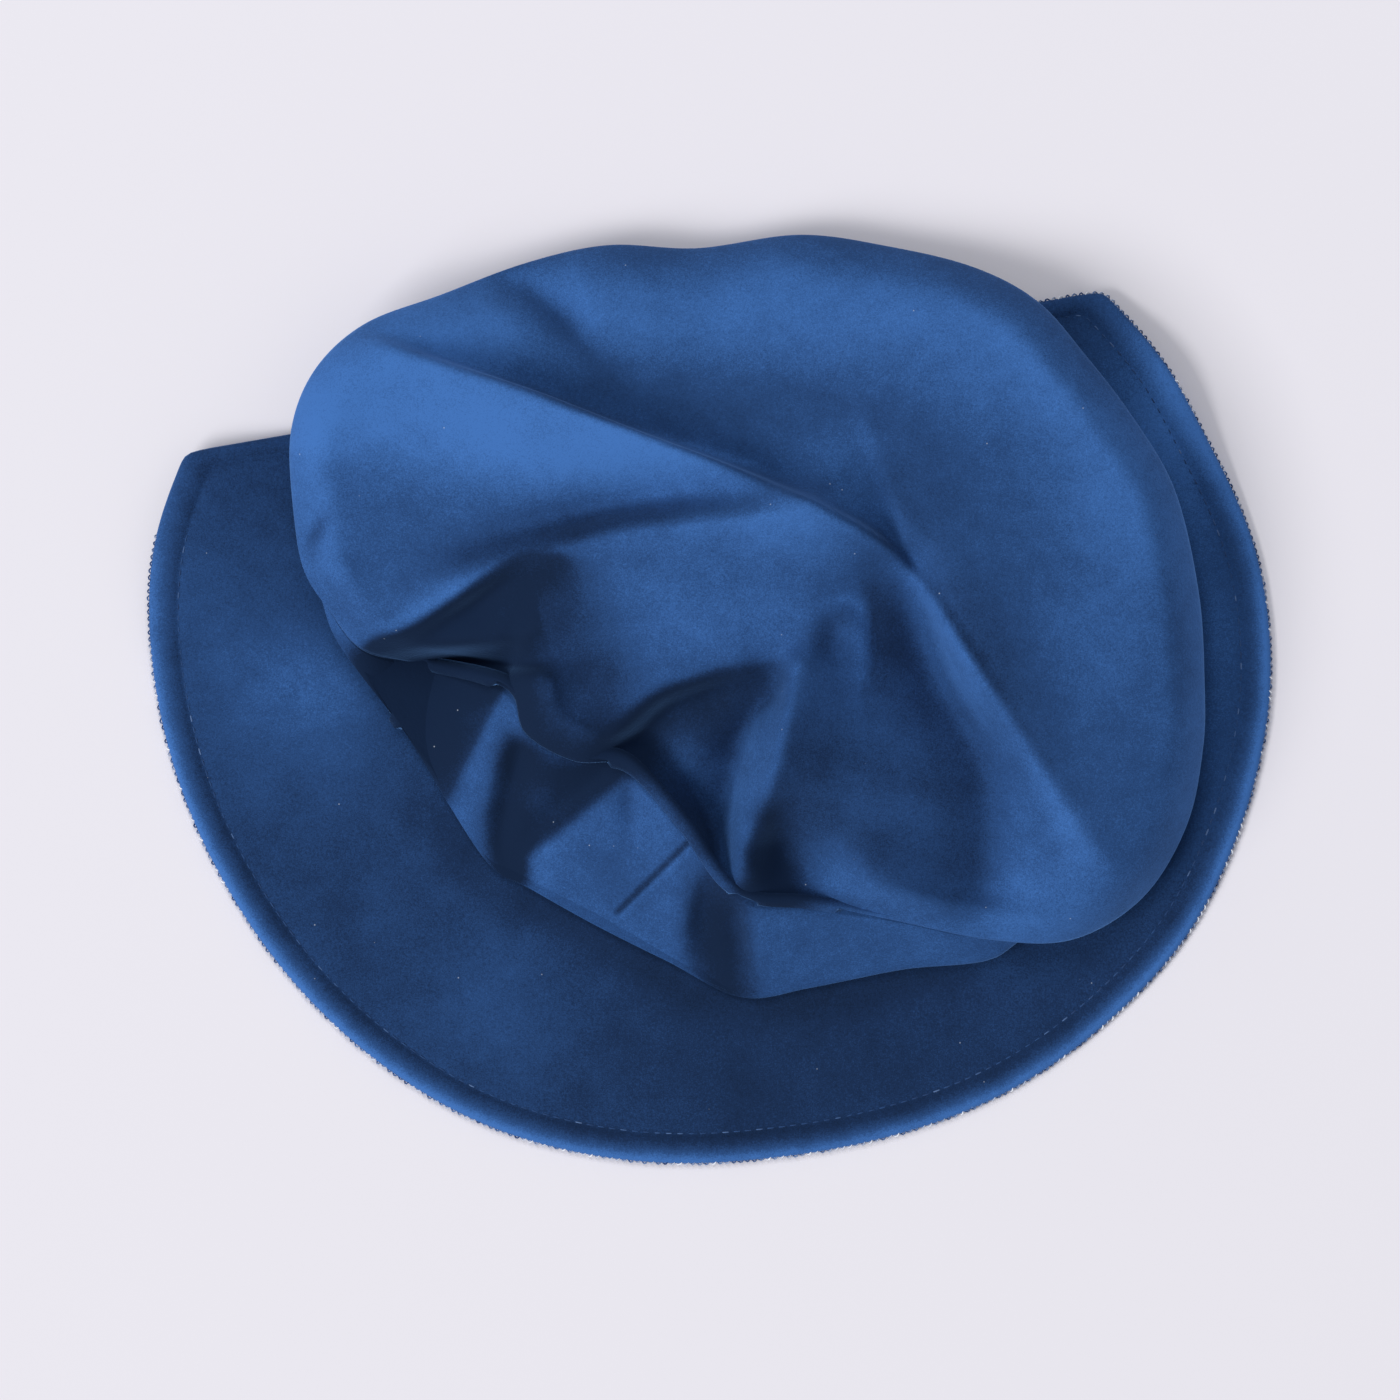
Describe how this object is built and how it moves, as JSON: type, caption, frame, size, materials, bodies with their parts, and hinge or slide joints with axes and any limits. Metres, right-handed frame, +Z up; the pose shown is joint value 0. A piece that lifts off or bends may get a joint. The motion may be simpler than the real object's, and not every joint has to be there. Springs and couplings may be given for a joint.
{
  "type": "tudor beret",
  "caption": "Soft velvet beret lying flat: a large slumped round crown over an open head opening, on a wide flat brim.",
  "frame": {"origin": "centre of the bounding box seen from above, at the height of the surface that the brim lies on", "axes": "+X to the hat's right as the picture shows it, +Y to the back of the hat, where the brim is cut straight, +Z up"},
  "size_m": [0.3747, 0.3106, 0.0738],
  "materials": {
    "crown_top_velvet": "short-pile velvet, matt with a soft sheen",
    "crown_side_velvet": "short-pile velvet, matt with a soft sheen",
    "brim_velvet": "short-pile velvet in two layers, matt with a soft sheen"
  },
  "bodies": {
    "root": {"crown_top": "crown_top_velvet", "crown_side": "crown_side_velvet", "brim": "brim_velvet"}
  },
  "joints": []
}
